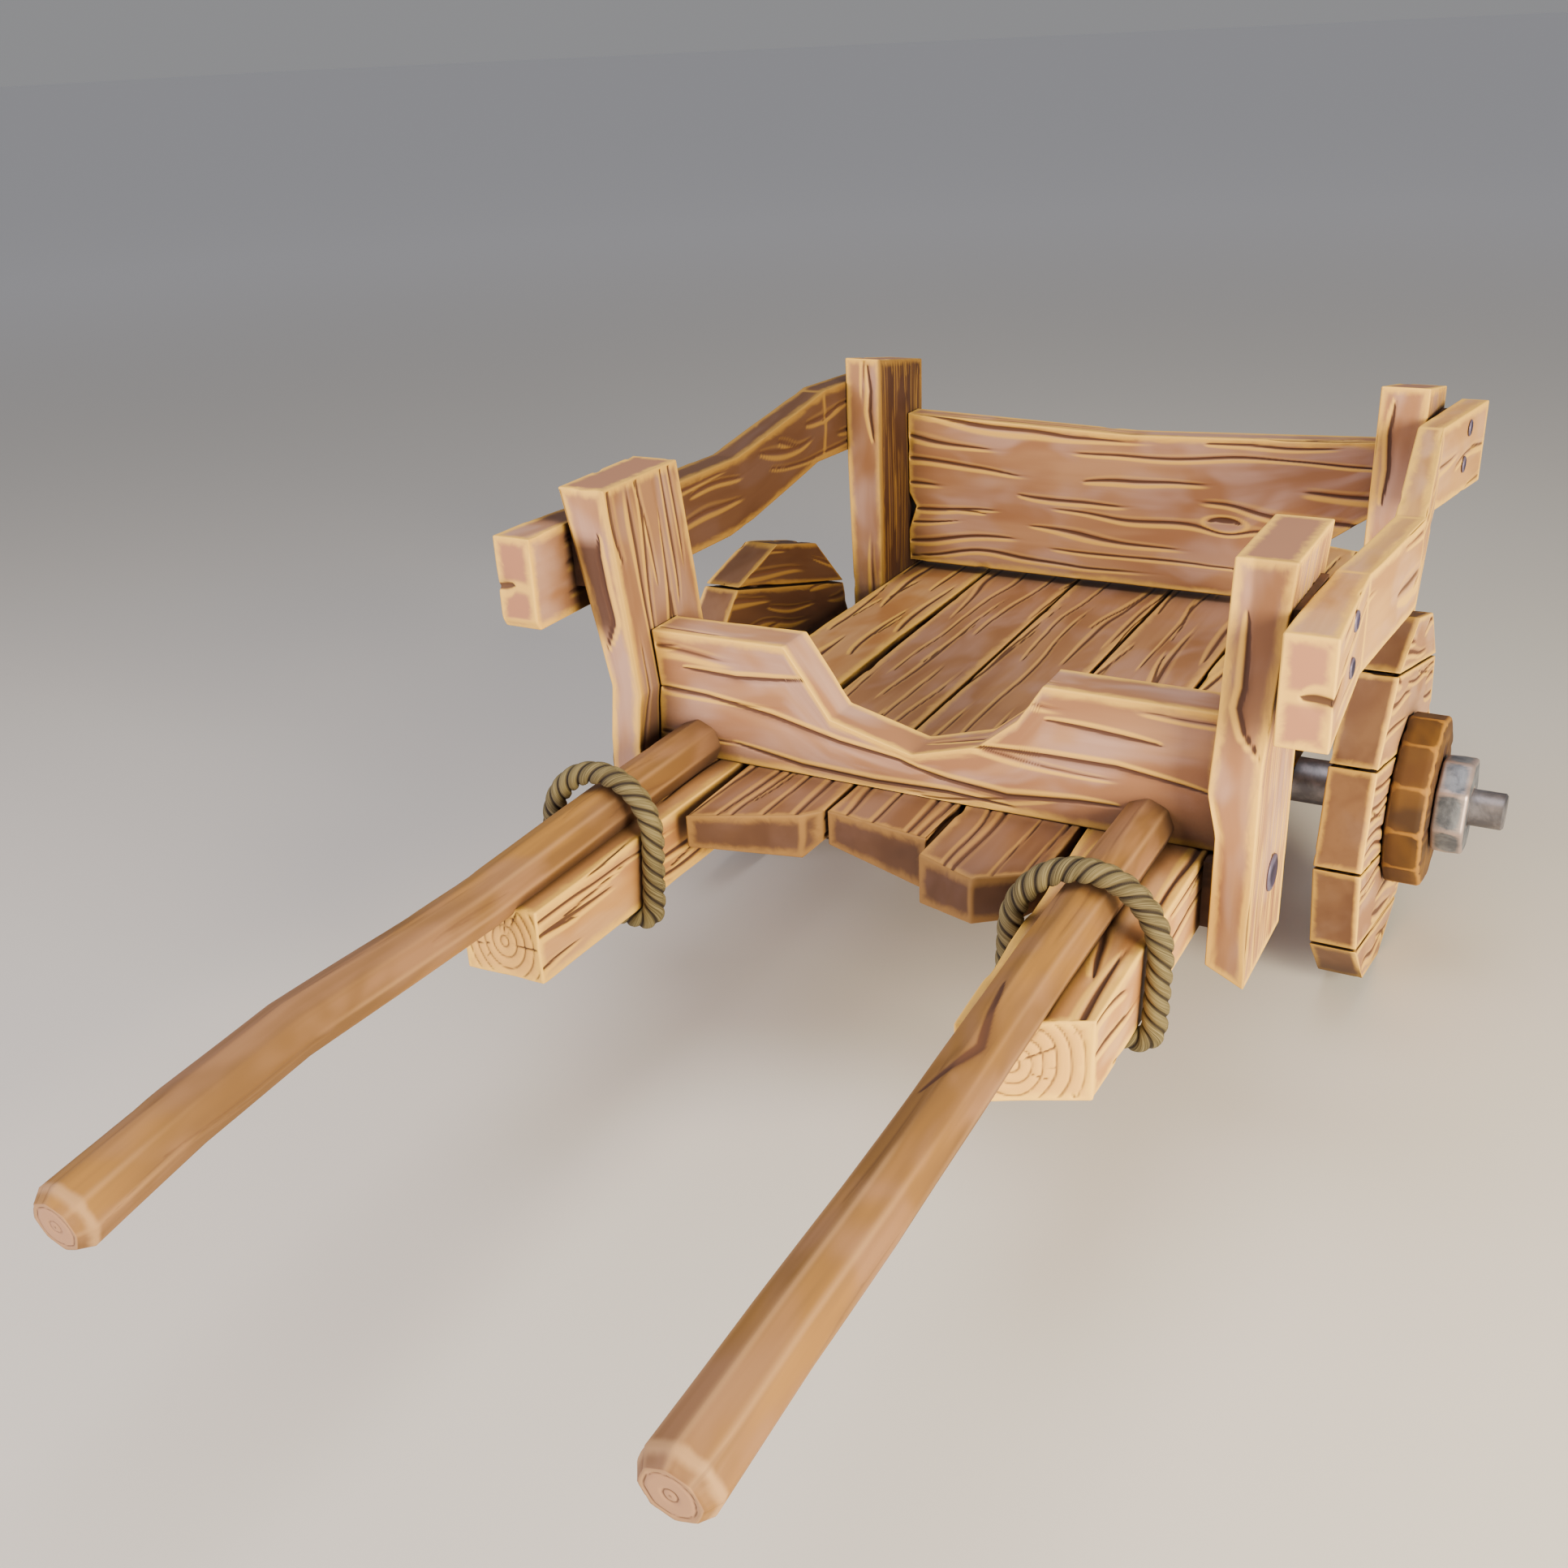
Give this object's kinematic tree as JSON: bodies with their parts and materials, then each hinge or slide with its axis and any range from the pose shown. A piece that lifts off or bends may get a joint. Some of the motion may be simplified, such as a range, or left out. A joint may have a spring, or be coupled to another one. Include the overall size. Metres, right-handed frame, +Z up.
{
  "type": "hand cart",
  "caption": "Wooden hand cart with a low plank bed, rough side and end boards, plank disc wheels on a steel axle, and long pull shafts lashed to the bed beams with rope",
  "frame": {"origin": "on the ground, under the middle of the bounding box", "axes": "+X across the cart to its right side seen from the pulling end looking at the bed, -Y towards the pulling end of the shafts, +Z up"},
  "size_m": [1.424, 2.492, 0.831],
  "materials": {
    "deck_wood": "weathered softwood planks, open grain, worn pale edges",
    "beam_wood": "rough-sawn beam, worn pale edges",
    "shaft_wood": "debarked pole, hand-smoothed, golden brown",
    "post_wood": "rough-sawn timber, worn pale edges",
    "end_board_wood": "rough-sawn board, worn pale edges",
    "side_board_wood": "rough-sawn board, worn pale edges",
    "wheel_wood": "weathered planks, worn pale rim",
    "hub_wood": "dark ochre wood",
    "packing_wood": "dark oak",
    "dowel_wood": "plain wood",
    "rope": "thick twisted hemp rope",
    "axle_steel": "dull blue-grey steel",
    "collar_steel": "dull blue-grey steel, worn bright edges",
    "fastener_iron": "dark blue-grey iron"
  },
  "bodies": {
    "cart": {"axle": "axle_steel", "axle_nut_left": "collar_steel", "axle_nut_right": "collar_steel", "axle_strap_left": "axle_steel", "axle_strap_right": "axle_steel", "axle_washer_left": "axle_steel", "axle_washer_right": "axle_steel", "back_board": "end_board_wood", "back_board_dowels": "dowel_wood", "beam_left": "beam_wood", "beam_right": "beam_wood", "bearer_screws": "fastener_iron", "bearer_spikes": "fastener_iron", "board_wedges": "packing_wood", "cross_bearer_back": "packing_wood", "cross_bearer_front": "packing_wood", "cross_bearer_middle": "packing_wood", "deck_plank_left": "deck_wood", "deck_plank_middle": "deck_wood", "deck_plank_right": "deck_wood", "foot_bolts": "fastener_iron", "foot_packers": "packing_wood", "front_board": "end_board_wood", "front_board_dowels": "dowel_wood", "post_back_left": "post_wood", "post_back_right": "post_wood", "post_front_left": "post_wood", "post_front_right": "post_wood", "rope_left": "rope", "rope_right": "rope", "shaft_left": "shaft_wood", "shaft_right": "shaft_wood", "side_board_bolts": "fastener_iron", "side_board_left": "side_board_wood", "side_board_right": "side_board_wood", "strap_screws": "fastener_iron"},
    "wheel_left": {"wheel_left_plank_1": "wheel_wood", "wheel_left_plank_2": "wheel_wood", "wheel_left_plank_3": "wheel_wood", "wheel_left_plank_4": "wheel_wood", "wheel_left_plank_5": "wheel_wood", "hub_block_left": "hub_wood", "hub_bush_left": "axle_steel", "wheel_dowels_left": "dowel_wood", "hub_screws_left": "fastener_iron"},
    "wheel_right": {"wheel_right_plank_1": "wheel_wood", "wheel_right_plank_2": "wheel_wood", "wheel_right_plank_3": "wheel_wood", "wheel_right_plank_4": "wheel_wood", "wheel_right_plank_5": "wheel_wood", "hub_block_right": "hub_wood", "hub_bush_right": "axle_steel", "wheel_dowels_right": "dowel_wood", "hub_screws_right": "fastener_iron"}
  },
  "joints": [
    {"name": "wheel_left_spin", "type": "hinge", "parent": "cart", "child": "wheel_left", "pos_m": [-0.5285, 0.428, 0.282], "axis": [1, 0, 0], "continuous": true},
    {"name": "wheel_right_spin", "type": "hinge", "parent": "cart", "child": "wheel_right", "pos_m": [0.5285, 0.428, 0.282], "axis": [1, 0, 0], "continuous": true}
  ]
}
